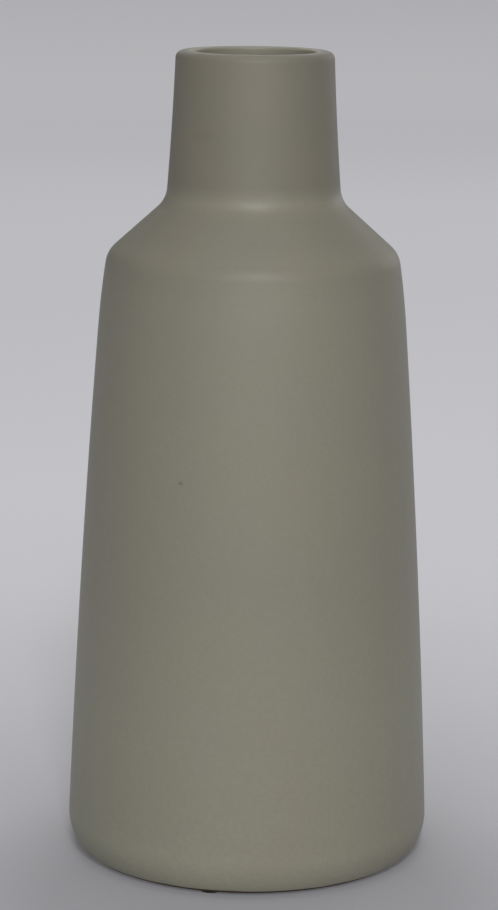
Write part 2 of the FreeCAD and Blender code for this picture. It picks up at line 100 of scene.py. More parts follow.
def add(tree, kind, inputs=None, **settings):
    """Adds a node, sets its properties, and fills its inputs: a socket is linked, anything else is a value."""
    made = tree.nodes.new(kind)
    for name, value in settings.items():
        setattr(made, name, value)
    for name, value in (inputs or {}).items():
        if isinstance(value, bpy.types.NodeSocket):
            tree.links.new(value, made.inputs[name])
        else:
            made.inputs[name].default_value = value
    return made


def new_finish(name):
    """An empty material: its node tree, the object's own coordinates in metres, and its output node."""
    finish = bpy.data.materials.new(name)
    finish.use_nodes = True
    tree = finish.node_tree
    tree.nodes.clear()
    place = add(tree, "ShaderNodeTexCoord").outputs["Object"]
    return finish, tree, place, add(tree, "ShaderNodeOutputMaterial")


def per_metre(millimetres):
    """Scale of a texture whose grains are to be this many millimetres wide."""
    return 1000 / millimetres


def ramp(tree, value, stops):
    """A colour ramp over a value: its stops are pairs of a value, rising from zero, and a hex colour."""
    furthest = stops[-1][0]
    share = add(tree, "ShaderNodeMath", {0: value, 1: furthest}, operation="DIVIDE").outputs["Value"]
    made = add(tree, "ShaderNodeValToRGB", {"Fac": share})
    for at, _ in stops[1:-1]:
        made.color_ramp.elements.new(at / furthest)
    for element, (at, hex_code) in zip(made.color_ramp.elements, stops):
        element.position = at / furthest
        element.color = colour(hex_code)
    return made.outputs["Color"]


def seen_or_mirrored(tree):
    """One for rays from the camera and for mirrored or transmitted rays, and nothing for rays that light."""
    rays = add(tree, "ShaderNodeLightPath").outputs
    mirrored = add(tree, "ShaderNodeMath", {0: rays["Is Glossy Ray"], 1: rays["Is Transmission Ray"]},
                   operation="MAXIMUM").outputs["Value"]
    either = add(tree, "ShaderNodeMath", {0: rays["Is Camera Ray"], 1: mirrored}, operation="MAXIMUM")
    return either.outputs["Value"]


print("middle grey, linear:", np.round(colour("#808080"), 3))

# %% [markdown]
# ## The paper
# The vase stands on a wide sheet of pale grey paper. A flat sheet is enough, because the camera looks down
# and never sees its end. Two tones are given by distance from a point near the foot. The first is the
# paper's own, with a painted shade round the foot: pale for most of a metre round, so that it throws light
# back up at the vase, and duller far off. The second is a glow that only the camera and mirrored rays see:
# it lifts the paper to its tone in the photograph, and lights nothing. The shadow of the vase stays,
# because it lies in the first tone.

# %% Paper
PAPER_REACH = 30.0
# Distance from the middle of the painted shade in metres, the paper's tone there, and the glow on top of it
PAPER_TONES = [(0.0, "#98989c", "#525255"), (0.08, "#98989c", "#525255"), (0.145, "#bcbcc0", "#505053"),
               (0.275, "#dcdce0", "#404043"), (0.45, "#e4e4e8", "#555558"), (0.68, "#d8d8dc", "#6e6e72"),
               (1.5, "#949498", "#9b9b9f"), (3.5, "#808084", "#acacaf"), (6.6, "#808084", "#a6a6a9"),
               (18.0, "#58585c", "#707074")]
PAINTED_SHADE_PLACE = (0.0, -0.07, 0.0)

paper_mesh = bpy.data.meshes.new("paper")
corners = [(x * PAPER_REACH, y * PAPER_REACH, 0.0) for x, y in ((-1, -1), (1, -1), (1, 1), (-1, 1))]
paper_mesh.from_pydata(corners, [], [(0, 1, 2, 3)])
paper = bpy.data.objects.new("paper", paper_mesh)
scene.collection.objects.link(paper)

uncoated_paper, tree, place, output = new_finish("uncoated_grey_paper")
away = add(tree, "ShaderNodeVectorMath", {0: place, 1: PAINTED_SHADE_PLACE}, operation="DISTANCE").outputs["Value"]
# The paper's tone is darkened near the foot into a painted shade; the glow lifts it for the camera only
paper_tone_with_painted_shade, glow_tone = (ramp(tree, away, [(row[0], row[column]) for row in PAPER_TONES]) for column in (1, 2))
grain = add(tree, "ShaderNodeTexNoise", {"Vector": place, "Scale": per_metre(1.2), "Detail": 3.0})
tooth = add(tree, "ShaderNodeBump", {"Height": grain.outputs["Fac"], "Strength": 0.2, "Distance": 0.0001})
sheet = add(tree, "ShaderNodeBsdfPrincipled", {"Base Color": paper_tone_with_painted_shade, "Roughness": 0.85,
                                               "Normal": tooth.outputs["Normal"]})
glow = add(tree, "ShaderNodeEmission", {"Color": glow_tone, "Strength": seen_or_mirrored(tree)})
both = add(tree, "ShaderNodeAddShader", {0: sheet.outputs["BSDF"], 1: glow.outputs["Emission"]})
tree.links.new(both.outputs["Shader"], output.inputs["Surface"])
paper_mesh.materials.append(uncoated_paper)
print("paper tones:", len(PAPER_TONES))

# %% [markdown]
# ## The light
# The light of the photograph is broad, and most of it comes from in front. A small softbox, in front and
# above, makes the gleams on the round of the shoulder and in the hollow at the foot of the neck: there the
# glaze faces half way between lamp and camera. A wide window in front is the main light, shines into the
# mouth and lights the heel. Two large softboxes, overhead and behind, light the paper, which throws light up
# at the sides, and a second window behind, to the right, draws the pale line along that edge. The world
# adds a little even fill, and shows a dim room above the end of the paper. All are kept at a plain level,
# at which a colour renders about as it is written.

# %% Lamps and world
# name, place and aim in metres, width and height in metres, watts, colour
LAMPS = [
    ("key_softbox", (0.12, -1.95, 1.64), (0.0, 0.0, 0.2), (0.4, 0.4), 17.0, "#ffffff"),
    ("front_window", (0.1, -2.3, 0.95), (0.0, 0.0, 0.15), (2.8, 1.4), 20.5, "#ffffff"),
    ("overhead_softbox", (0.0, 0.3, 2.6), (0.0, 0.0, 0.15), (1.5, 1.5), 14.0, "#ffffff"),
    ("back_softbox", (0.0, 2.2, 1.4), (0.0, 0.0, 0.15), (2.0, 1.2), 6.0, "#ffffff"),
    ("back_window", (1.5, 1.9, 0.7), (0.0, 0.0, 0.15), (1.2, 1.0), 4.5, "#ffffff"),
]
WORLD_COLOUR, WORLD_STRENGTH, ROOM_TONE = "#ffffff", 0.12, "#7c7c80"

for name, where, aim, (width, height), watts, hex_code in LAMPS:
    lamp = bpy.data.lights.new(name, "AREA")
    lamp.shape = "RECTANGLE"
    lamp.size, lamp.size_y = width, height
    lamp.energy = watts
    lamp.color = colour(hex_code)[:3]
    lamp_object = bpy.data.objects.new(name, lamp)
    way = Vector(aim) - Vector(where)
    lamp_object.matrix_world = Matrix.Translation(where) @ way.to_track_quat("-Z", "Y").to_matrix().to_4x4()
    lamp_object.visible_camera = False
    scene.collection.objects.link(lamp_object)

world = bpy.data.worlds.new("studio")
world.use_nodes = True
scene.world = world
tree = world.node_tree
fill = tree.nodes["Background"]
fill.inputs["Color"].default_value = colour(WORLD_COLOUR)
fill.inputs["Strength"].default_value = WORLD_STRENGTH
room = add(tree, "ShaderNodeBackground", {"Color": colour(ROOM_TONE)})
either = add(tree, "ShaderNodeMixShader", {0: seen_or_mirrored(tree), 1: fill.outputs["Background"],
                                           2: room.outputs["Background"]})
tree.links.new(either.outputs["Shader"], tree.nodes["World Output"].inputs["Surface"])
print("lamps:", [f"{name} {watts} W" for name, _, _, _, watts, _ in LAMPS])

# %% [markdown]
# ## The outline of the vase
# A cast vase is round, so one half section tells all of its shape. The section is a chain of lines and arcs
# that meet smoothly: the round heel, the tall wall that bows out by a millimetre, an easing arc, the round of
# the shoulder, the straight slope, the hollow at the foot of the neck, and the neck. A point of the section
# is kept as one complex number, with the distance from the axis as its real part and the height above the
# foot as its imaginary part. Turning by a right angle is then a product with 1j, and a point on an arc is
# its centre plus a radius times exp(1j * angle).
#
# All layers share the centres of these arcs. A layer that lies deeper keeps the centres and changes the
# radii, which is how a glaze of even thickness follows the clay.

# %% Measurements in millimetres
WALL_FOOT_RADIUS, FOOT_INSET, SHOULDER_RADIUS, WALL_HEIGHT = 68.75, 4.6, 55.1, 225.0
NECK_FOOT_RADIUS, SHOULDER_RISE, MOUTH_RADIUS, NECK_HEIGHT = 32.3, 20.5, 29.0, 54.5
HEEL_ROUND, WALL_BOW, EASE_ROUND, EASE_DROP = 19.0, 5250.0, 325.0, 26.0
SHOULDER_ROUND, NECK_FOOT_ROUND, NECK_WAIST = 10.0, 11.0, 1300.0
LIP_OUTER_ROUND, LIP_INNER_ROUND = 2.8, 1.0
CLAY_WALL, COAT, BOTTOM, BOTTOM_ROUND = 6.0, 0.4, 5.5, 12.0
COAT_RETURN, BARE_BAND, FOOT_EDGE_ROUND = 30.0, 1.0, 1.0
RING_WIDTH, RING_INNER_ROUND, RECESS_DEPTH, RECESS_ROUND, RECESS_BARE_BAND = 10.5, 0.5, 3.0, 1.0, 1.0
PAD_COUNT, PAD_DIAMETER, PAD_THICKNESS, PAD_INSET, FIRST_PAD_ANGLE = 3, 8.0, 1.0, 1.5, -102.7

foot = complex(WALL_FOOT_RADIUS - FOOT_INSET, 0)
shoulder = complex(SHOULDER_RADIUS, WALL_HEIGHT)
neck_foot = complex(NECK_FOOT_RADIUS, WALL_HEIGHT + SHOULDER_RISE)
mouth = complex(MOUTH_RADIUS, neck_foot.imag + NECK_HEIGHT)
clay_outside, clay_inside, coat_inside = COAT, COAT + CLAY_WALL, COAT + CLAY_WALL + COAT
print(f"height {mouth.imag + PAD_THICKNESS:.1f} mm on its pads, lip {coat_inside:.1f} mm thick")


# %% Where lines and circles meet
def unit(way):
    """A way of length one."""
    return way / abs(way)


def centre_through(start, end, radius, side):
    """Centre of a circle through two points: half way, then sideways, to the right where side is 1."""
    half = (end - start) / 2
    return start + half - 1j * unit(half) * side * math.sqrt(radius ** 2 - abs(half) ** 2)


def line_meets(origin, way, centre, radius, near):
    """Where a line crosses a circle, at the crossing nearest to a point."""
    way = unit(way)
    along = ((centre - origin) * way.conjugate()).real
    off = ((centre - origin) * way.conjugate()).imag
    root = math.sqrt(radius ** 2 - off ** 2)
    return min((origin + way * (along + sign * root) for sign in (-1, 1)), key=lambda found: abs(found - near))


def circles_meet(centre, radius, far_centre, far_radius):
    """Where two circles cross, on the right of the way from the first centre to the second."""
    way = far_centre - centre
    along = (radius ** 2 - far_radius ** 2 + abs(way) ** 2) / (2 * abs(way))
    return centre + unit(way) * (along - 1j * math.sqrt(radius ** 2 - along ** 2))


def at_height(height, centre, radius, near):
    """Where a circle passes a height, on the side of a point."""
    return line_meets(complex(0, height), 1, centre, radius, near)


wall_centre = centre_through(complex(WALL_FOOT_RADIUS, 0), shoulder, WALL_BOW, -1)
waist_centre = centre_through(neck_foot, mouth, NECK_WAIST, 1)
ease = at_height(WALL_HEIGHT - EASE_DROP, wall_centre, WALL_BOW, shoulder)
ease_centre = ease + unit(wall_centre - ease) * EASE_ROUND
slope = neck_foot - shoulder
slope_out = -1j * unit(slope)
heel_centre = circles_meet(foot, HEEL_ROUND, wall_centre, WALL_BOW - HEEL_ROUND)
shoulder_centre = line_meets(shoulder - slope_out * SHOULDER_ROUND, slope, ease_centre,
                             EASE_ROUND - SHOULDER_ROUND, shoulder)
neck_foot_centre = line_meets(shoulder + slope_out * NECK_FOOT_ROUND, slope, waist_centre,
                              NECK_WAIST - NECK_FOOT_ROUND, neck_foot)
lip_outer = at_height(mouth.imag - LIP_OUTER_ROUND, waist_centre, NECK_WAIST + LIP_OUTER_ROUND, mouth)
lip_inner = at_height(mouth.imag - LIP_INNER_ROUND, waist_centre, NECK_WAIST + coat_inside - LIP_INNER_ROUND,
                      mouth)
print(f"centre of the shoulder's round: {shoulder_centre.real:.2f} mm out, {shoulder_centre.imag:.2f} mm up")


# %% Points along the section
# Steps between points in millimetres: long on the flat stretches, short where the surface turns quickly
WALL_STEP, EASE_STEP, SHOULDER_STEP, SLOPE_STEP, HOLLOW_STEP, NECK_STEP = 2.5, 2.0, 0.5, 1.8, 0.6, 2.0
LIP_OUTER_STEP, LIP_TOP_STEP, LIP_INNER_STEP, INSIDE_NECK_STEP = 0.45, 0.5, 0.2, 4.0
HEEL_STEP, FILLET_STEP, FLOOR_STEP, RECESS_STEP, RING_STEP = 0.8, 1.0, 4.0, 0.3, 2.0
COAT_END_STEP, SMALL_EDGE_STEP = 0.2, 0.2


def spaced(length, spacing):
    """Shares from 0 to 1 that divide a length into steps no longer than the spacing."""
    return np.linspace(0, 1, max(2, math.ceil(length / spacing) + 1))


def straight(start, end, spacing=WALL_STEP):
    """Points on a line: its start plus a share of the way."""
    return start + (end - start) * spaced(abs(end - start), spacing)


def arc(centre, start, end, spacing=WALL_STEP):
    """Points on an arc, the short way round: the start's arm turned by a share of the angle."""
    arm = start - centre
    turn = cmath.phase((end - centre) / arm)
    return centre + arm * np.exp(1j * turn * spaced(abs(arm) * abs(turn), spacing))


def chain(*stretches):
    """Stretches joined end to end, with each shared point kept once."""
    return np.concatenate([stretches[0]] + [stretch[1:] for stretch in stretches[1:]])


def on_neck(depth, height):
    """Point of the neck at a height."""
    return at_height(height, waist_centre, NECK_WAIST + depth, neck_foot)


def wall_towards(depth, ahead):
    """Point of the wall in line with its centre and another point."""
    return wall_centre + unit(ahead - wall_centre) * (WALL_BOW - depth)


def outer_lip(depth):
    """Upper end of an outer face of the neck, where the outer round of the lip begins."""
    return waist_centre + unit(lip_outer - waist_centre) * (NECK_WAIST + depth)


def inner_lip(depth):
    """Upper end of an inner face of the neck, where the inner round of the lip ends."""
    return waist_centre + unit(lip_inner - waist_centre) * (NECK_WAIST + depth)


def upwards(depth, low, high):
    """A layer's outline from the wall to the neck: wall, ease, round of the shoulder, slope, hollow, neck."""
    eased = wall_towards(depth, ease)
    rounded = ease_centre + unit(shoulder_centre - ease_centre) * (EASE_ROUND - depth)
    slope_start = shoulder_centre + slope_out * (SHOULDER_ROUND - depth)
    slope_end = neck_foot_centre - slope_out * (NECK_FOOT_ROUND + depth)
    neck_start = waist_centre + unit(neck_foot_centre - waist_centre) * (NECK_WAIST + depth)
    return chain(arc(wall_centre, low, eased), arc(ease_centre, eased, rounded, EASE_STEP),
                 arc(shoulder_centre, rounded, slope_start, SHOULDER_STEP),
                 straight(slope_start, slope_end, SLOPE_STEP),
                 arc(neck_foot_centre, slope_end, neck_start, HOLLOW_STEP),
                 arc(waist_centre, neck_start, high, NECK_STEP))


def over_lip(depth):
    """Over the rim, a depth under the surface: the outer round, the top and the inner round."""
    top_start, top_end = lip_outer + 1j * (LIP_OUTER_ROUND - depth), lip_inner + 1j * (LIP_INNER_ROUND - depth)
    return chain(arc(lip_outer, outer_lip(depth), top_start, LIP_OUTER_STEP),
                 straight(top_start, top_end, LIP_TOP_STEP),
                 arc(lip_inner, top_end, inner_lip(coat_inside - depth), LIP_INNER_STEP))


def bottom_run(depth, floor, fillet):
    """Inside of the foot of the wall: its fillet and the floor to the axis, from the wall down and inwards."""
    centre = at_height(floor + fillet, wall_centre, WALL_BOW - depth - fillet, foot)
    low = centre - 1j * fillet
    return chain(arc(centre, wall_towards(depth, centre), low, FILLET_STEP),
                 straight(low, complex(0, floor), FLOOR_STEP))


outline = upwards(0.0, wall_towards(0.0, heel_centre), outer_lip(0.0))
print(len(outline), "points from heel to lip; widest", round(outline.real.max(), 2), "mm from the axis")

# %% [markdown]
# ## Turning a section into a surface
# A potter would say that the mould is turned; in Blender the Spin tool or a Screw modifier could do it. Here
# the surface is a grid instead: one parameter runs along the section and the other round the axis. The grid
# is worked out as whole arrays, so a section may also change a little on its way round, which no spin does.
# A real cast pot is never perfectly true: it moves by tenths of a millimetre as it dries and is fired, and
# the long waves below give it that.

# %% Grid of a turned piece
AROUND = 256
# The most that the kiln moves the wall, and the distance from the axis inside which the move fades out, in mm
KILN_WARP, WARP_FADE = 0.2, 20
SHARP_EDGE = math.radians(50)
ON_AXIS = 1e-9
turn = np.linspace(0, 2 * math.pi, AROUND, endpoint=False)


def kiln_warp(height):
    """Inward move of the wall in mm, at each height and turn: three long waves round the vase, each with its
    own phase that climbs with the height, scaled so that the most is a fifth of a millimetre."""
    climb = height[:, None] / mouth.imag
    waves = (0.5 * np.cos(2 * turn + 1.1 + 1.7 * climb) + 0.3 * np.cos(3 * turn + 4.0 - 2.6 * climb)
             + 0.2 * np.cos(7 * turn + 2.2 + 9.0 * climb))
    return KILN_WARP / 2 * (1 + waves)


def turned(name, section, closed=False, centre=(0.0, 0.0), lift=PAD_THICKNESS, warped=True, around=turn):
    """Mesh of a section turned round an axis. x = (r - warp) cos t, y = (r - warp) sin t, z = height + lift.

    The section is a row of complex numbers, or a grid of them with one column for each turn. Where it starts
    or ends on the axis, that end is one vertex with a fan of triangles, so that the piece is closed."""
    grid = np.broadcast_to(section.reshape(len(section), -1), (len(section), len(around)))
    on_axis = np.abs(grid[[0, -1]].real).max(axis=1) < ON_AXIS
    rows = grid[int(on_axis[0]):len(grid) - int(on_axis[1])]
    warp = kiln_warp(rows.imag.mean(axis=1)) * np.minimum(rows.real / WARP_FADE, 1) if warped else 0
    radius = rows.real - warp
    points = np.stack([centre[0] + radius * np.cos(around), centre[1] + radius * np.sin(around),
                       rows.imag + lift], axis=-1).reshape(-1, 3)
    poles = [(*centre, grid[end, 0].imag + lift) for end, closes in zip((0, -1), on_axis) if closes]
    points = np.concatenate([points, np.array(poles).reshape(-1, 3)]) / 1000

    index = np.arange(rows.size).reshape(rows.shape)
    low, high = (index, np.roll(index, -1, axis=0)) if closed else (index[:-1], index[1:])
    quads = np.stack([low, np.roll(low, -1, axis=1), np.roll(high, -1, axis=1), high], axis=-1).reshape(-1, 4)
    fans = []
    if on_axis[0]:
        fans.append(np.stack([np.roll(index[0], -1), index[0], np.full(len(around), rows.size)], axis=-1))
    if on_axis[1]:
        last = len(points) - 1
        fans.append(np.stack([index[-1], np.roll(index[-1], -1), np.full(len(around), last)], axis=-1))
    faces = quads.tolist() + [face for fan in fans for face in fan.tolist()]

    mesh = bpy.data.meshes.new(name)
    mesh.from_pydata(points.tolist(), [], faces)
    mesh.validate()
    mesh.polygons.foreach_set("use_smooth", np.ones(len(mesh.polygons), dtype=bool))
    mesh.set_sharp_from_angle(angle=SHARP_EDGE)
    piece = bpy.data.objects.new(name, mesh)
    scene.collection.objects.link(piece)
    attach(piece, "root")
    print(f"{name}: {len(mesh.vertices)} vertices, {len(faces)} faces")
    return piece


# %% [markdown]
# ## The clay body
# The body is one shell of fired stoneware, poured as slip into a plaster mould. Its foot ring is wiped clean
# of glaze and sanded flat, and the shallow recess inside the ring keeps the vase from rocking. The section
# starts in the middle of the recess, goes out round the ring, up the outside, over the lip and down inside
# to the middle of the floor, so the surface is closed and has the real thickness all over.

# %% Clay body
ring_inner = foot.real - RING_WIDTH
floor_height = RECESS_DEPTH + BOTTOM
fillet_centre = at_height(floor_height + BOTTOM_ROUND, wall_centre, WALL_BOW - clay_inside - BOTTOM_ROUND, foot)


def recess_run(ceiling, reach, fillet, low):
    """From the middle of a recess out along its ceiling, round its fillet and down the inside of the ring."""
    centre = complex(reach - fillet, ceiling - fillet)
    return chain(straight(complex(0, ceiling), centre + 1j * fillet, FLOOR_STEP),
                 arc(centre, centre + 1j * fillet, centre + fillet, RECESS_STEP),
                 straight(centre + fillet, complex(reach, low), FILLET_STEP))


edge_reach = HEEL_ROUND - clay_outside - FOOT_EDGE_ROUND
edge_centre = at_height(FOOT_EDGE_ROUND, heel_centre, edge_reach, foot)
heel_start = edge_centre + unit(edge_centre - heel_centre) * FOOT_EDGE_ROUND
ring_corner = complex(ring_inner + RING_INNER_ROUND, RING_INNER_ROUND)
ring_flat = ring_corner - 1j * RING_INNER_ROUND
sanded_edge = complex(edge_centre.real, 0)
wall_low = wall_towards(clay_outside, heel_centre)
clay_section = chain(
    recess_run(RECESS_DEPTH, ring_inner, RECESS_ROUND, RING_INNER_ROUND),
    arc(ring_corner, ring_corner - RING_INNER_ROUND, ring_flat, SMALL_EDGE_STEP),
    straight(ring_flat, sanded_edge, RING_STEP),
    arc(edge_centre, sanded_edge, heel_start, SMALL_EDGE_STEP),
    arc(heel_centre, heel_start, wall_low, HEEL_STEP),
    upwards(clay_outside, wall_low, outer_lip(clay_outside)), over_lip(clay_outside),
    upwards(clay_inside, wall_towards(clay_inside, fillet_centre), inner_lip(clay_inside))[::-1],
    bottom_run(clay_inside, floor_height, BOTTOM_ROUND))
clay_body = turned("clay_shell", clay_section)
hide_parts("clay_body")

# %% [markdown]
# ## The coloured coat
# The glaze is sprayed on, so it has the same thickness everywhere, goes over the lip and ends a little way
# down inside the neck. At the foot it is wiped back with a sponge before firing, which leaves a narrow band
# of bare clay. A sponge never wipes a perfect line and molten glaze draws back into a bead, so the lower
# edge wanders by a quarter of a millimetre and is round.

# %% Coloured coat
# How far the wiped edge strays in mm, and the phases of its waves; rows along the heel and round the bead
WIPE_WANDER, WIPE_PHASES = 0.25, (0.4, 2.9, 5.1, 1.7)
HEEL_ROWS, BEAD_ROWS = 16, 9


def sponge_line(wander, phases):
    """Height in mm by which a wiped edge strays, at each turn: four waves round the vase, weaker as they
    get shorter."""
    counts = np.array([3, 8, 17, 31])[:, None]
    strengths = np.array([1.0, 0.6, 0.45, 0.3])[:, None]
    waves = (strengths * np.sin(counts * turn + np.array(phases)[:, None])).sum(axis=0)
    return wander * waves / strengths.sum()


def spread(section):
    """A section of one column, repeated for each turn."""
    return np.repeat(section[:, None], AROUND, axis=1)


def arcs(centre, radius, start_angles, end_angle, steps):
    """A bundle of arcs, one for each turn: centre plus radius times exp(i angle), from its own start angle."""
    shares = np.linspace(0, 1, steps)[:, None]
    return centre + radius * np.exp(1j * (start_angles + (end_angle - start_angles) * shares))


edge_height = BARE_BAND + sponge_line(WIPE_WANDER, WIPE_PHASES)
low_angle = -np.arcsin((heel_centre.imag - edge_height) / HEEL_ROUND)
wall_angle = cmath.phase(wall_towards(0.0, heel_centre) - heel_centre)
bead_angle = low_angle + COAT / 2 / HEEL_ROUND
outer_heel = arcs(heel_centre, HEEL_ROUND, bead_angle, wall_angle, HEEL_ROWS)
under_heel = arcs(heel_centre, HEEL_ROUND - COAT, bead_angle, wall_angle, HEEL_ROWS)[::-1]
bead_centre = heel_centre + (HEEL_ROUND - COAT / 2) * np.exp(1j * bead_angle)
bead_turn = np.linspace(-math.pi, 0, BEAD_ROWS)[1:-1, None]
bead = bead_centre + COAT / 2 * np.exp(1j * (bead_angle + bead_turn))
return_height = mouth.imag - COAT_RETURN
return_start, return_end = on_neck(coat_inside, return_height), on_neck(clay_inside, return_height)
coat_up = chain(upwards(0.0, wall_towards(0.0, heel_centre), outer_lip(0.0)), over_lip(0.0),
                arc(waist_centre, inner_lip(coat_inside), return_start, NECK_STEP),
                straight(return_start, return_end, COAT_END_STEP),
                arc(waist_centre, return_end, inner_lip(clay_inside), INSIDE_NECK_STEP),
                over_lip(clay_outside)[::-1],
                upwards(clay_outside, wall_low, outer_lip(clay_outside))[::-1])
coat_grid = np.concatenate([bead, outer_heel, spread(coat_up[1:-1]), under_heel])
coat = turned("glaze_coat", coat_grid, closed=True)
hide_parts("outer_glaze")
print(f"bare band from {edge_height.min():.2f} to {edge_height.max():.2f} mm")

# %% [markdown]
# ## The liner and the patch in the recess
# Bare stoneware sweats water, so the inside has a liner that was poured in, swirled and poured out. A dab of
# the coloured glaze covers the recess. Both are shells of their own and lie face to face on the clay.

# %% Liner and base patch
liner_depth, liner_floor, liner_fillet = coat_inside, floor_height + COAT, BOTTOM_ROUND - COAT
liner_section = chain(
    bottom_run(clay_inside, floor_height, BOTTOM_ROUND)[::-1],
    upwards(clay_inside, wall_towards(clay_inside, fillet_centre), return_end),
    straight(return_end, return_start, COAT_END_STEP),
    upwards(liner_depth, wall_towards(liner_depth, fillet_centre), return_start)[::-1],
    bottom_run(liner_depth, liner_floor, liner_fillet))
liner = turned("liner_coat", liner_section)
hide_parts("inner_glaze")

patch_face = recess_run(RECESS_DEPTH - COAT, ring_inner - COAT, RECESS_ROUND - COAT, RECESS_BARE_BAND)
patch_back = recess_run(RECESS_DEPTH, ring_inner, RECESS_ROUND, RECESS_BARE_BAND)[::-1]
patch_end = straight(patch_face[-1], patch_back[0], COAT_END_STEP)
patch = turned("recess_patch", chain(patch_face, patch_end, patch_back))
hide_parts("base_glaze")

# %% [markdown]
# ## The felt pads
# Three small discs of pressed wool felt are glued under the foot ring, so that the bare clay doesn't scratch
# a table. Felt is cut with a punch: its edge is nearly upright, a little soft at the corners, and furry. The
# fur is far too fine for geometry, but the outline of the disc wanders a little, and that can be seen.

# %% Felt pads
PAD_AROUND, PAD_FLAT_STEP, PAD_CORNER_STEP, PAD_EDGE_STEP = 72, 0.4, 0.07, 0.12
# Round of a disc's corners in mm, and the share of its radius by which the edge is ragged
FELT_CORNER, FELT_RAGGED, FELT_SEED = 0.22, 0.012, 11

pad_turn = np.linspace(0, 2 * math.pi, PAD_AROUND, endpoint=False)
pad_radius = PAD_DIAMETER / 2
flat_reach, edge_top = pad_radius - FELT_CORNER, PAD_THICKNESS - FELT_CORNER
pad_profile = chain(
    straight(0j, complex(flat_reach, 0), PAD_FLAT_STEP),
    arc(complex(flat_reach, FELT_CORNER), complex(flat_reach, 0), complex(pad_radius, FELT_CORNER),
        PAD_CORNER_STEP),
    straight(complex(pad_radius, FELT_CORNER), complex(pad_radius, edge_top), PAD_EDGE_STEP),
    arc(complex(flat_reach, edge_top), complex(pad_radius, edge_top), complex(flat_reach, PAD_THICKNESS),
        PAD_CORNER_STEP),
    straight(complex(flat_reach, PAD_THICKNESS), complex(0, PAD_THICKNESS), PAD_FLAT_STEP))
pad_ring = foot.real - PAD_INSET - pad_radius
random = np.random.default_rng(FELT_SEED)
pads = []
for number in range(1, PAD_COUNT + 1):
    angle = math.radians(FIRST_PAD_ANGLE + (number - 1) * 360 / PAD_COUNT)
    fur = 1 - FELT_RAGGED * random.random((len(pad_profile), len(pad_turn)))
    ragged = pad_profile.real[:, None] * fur + 1j * pad_profile.imag[:, None]
    pad = turned(f"felt_disc_{number}", ragged, centre=(pad_ring * math.cos(angle), pad_ring * math.sin(angle)),
                 lift=0.0, warped=False, around=pad_turn)
    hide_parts(f"felt_pad_{number}")
    pads.append(pad)

# %% [markdown]
# ## The satin-matt glaze
# The coat is a satin-matt stoneware glaze, sprayed and fired until it just begins to mirror. Fine crystals
# in it scatter the light, so it gives broad soft gleams instead of reflections. Its grey-green comes from a
# little iron. Its tone carries painted light and shade by height: painted shade darkens the slope of the
# shoulder and the neck, painted light makes the heel, the lower body and the inside of the lip paler, and a
# painted highlight makes the hollow below the neck paler; where it is paler it is also a little smoother.
# Clouds a few centimetres across drift over it, with a finer mottle in them, and here and there is an iron
# speck.

# %% Painted light and shade in the glaze
PAINTED_SHADE_AND_MOTTLE_TONE, PAINTED_LIGHT_TONE, WARM_TONE, SPECK_TONE = "#7a776a", "#a6a492", "#93897a", "#4c483c"
# Height in metres, and a grey there from black, darker, to white, paler: painted shade on the shoulder
# slope and the neck, painted light on the heel and lower body, and a painted highlight in the hollow
PAINTED_LIGHT_HEIGHTS = [(0.0, 1.0), (0.01, 0.86), (0.02, 0.73), (0.04, 0.65), (0.075, 0.53), (0.11, 0.4), (0.215, 0.365),
          (0.235, 0.21), (0.243, 0.24), (0.248, 0.5), (0.254, 0.08), (0.301, 0.08)]
# Inside the mouth a painted light grows to this grey, over these distances from the axis in metres
MOUTH_PAINTED_LIGHT, MOUTH_BORE, MOUTH_LIP = 0.65, 0.0235, 0.0262

satin_glaze, tree, place, output = new_finish("satin_matt_stoneware_glaze")


def grey(level):
    """Hex code of a grey that a ramp turns into this linear level."""
    share = 12.92 * level if level <= 0.0031308 else 1.055 * level ** (1 / 2.4) - 0.055
    return "#" + f"{round(255 * share):02x}" * 3


height = add(tree, "ShaderNodeSeparateXYZ", {0: place}).outputs["Z"]
# Painted light and shade by height, as a share of the paler tone
height_painted_light = ramp(tree, height, [(at, grey(depth)) for at, depth in PAINTED_LIGHT_HEIGHTS])
level_place = add(tree, "ShaderNodeVectorMath", {0: place, 1: (1.0, 1.0, 0.0)}, operation="MULTIPLY")
off_axis = add(tree, "ShaderNodeVectorMath", {0: level_place.outputs["Vector"]}, operation="LENGTH")
# Painted light inside the mouth, growing from the lip in towards the bore
mouth_painted_light = add(tree, "ShaderNodeMapRange", {"Value": off_axis.outputs["Value"], "From Min": MOUTH_LIP,
                                            "From Max": MOUTH_BORE, "To Max": MOUTH_PAINTED_LIGHT}).outputs["Result"]
# The share of painted light, by height or inside the mouth; it also lowers the roughness
depth = add(tree, "ShaderNodeMath", {0: height_painted_light, 1: mouth_painted_light}, operation="MAXIMUM").outputs["Value"]
print("thickness steps:", len(PAINTED_LIGHT_HEIGHTS))

# %% Marks in the glaze
# place in metres, half its width and half its height in millimetres, strength
MARKS = [((-0.0249, -0.0553, 0.1515), 0.95, 0.65, 0.45), ((-0.0180, -0.0245, 0.2718), 5.5, 1.6, 0.1)]
# Each cell of 8 mm has one point. One cell in six may show a speck, where its point lies within a quarter of a
# millimetre of the surface: the reach is counted in cells.
SPECK_CELL, SPECK_FREE_SHARE, SPECK_REACH, SPECK_STRENGTH = 8, 0.83, 0.032, 0.35


def mark(centre, half_wide, half_tall):
    """One soft round mark: the distance from its centre, counted in its own half sizes, faded out past one."""
    arm = add(tree, "ShaderNodeVectorMath", {0: place, 1: centre}, operation="SUBTRACT").outputs["Vector"]
    sizes = (per_metre(half_wide), per_metre(half_wide), per_metre(half_tall))
    scaled = add(tree, "ShaderNodeVectorMath", {0: arm, 1: sizes}, operation="MULTIPLY").outputs["Vector"]
    far = add(tree, "ShaderNodeVectorMath", {0: scaled}, operation="LENGTH").outputs["Value"]
    return add(tree, "ShaderNodeMapRange", {"Value": far, "From Min": 1.5, "From Max": 0.2},
               interpolation_type="SMOOTHSTEP").outputs["Result"]


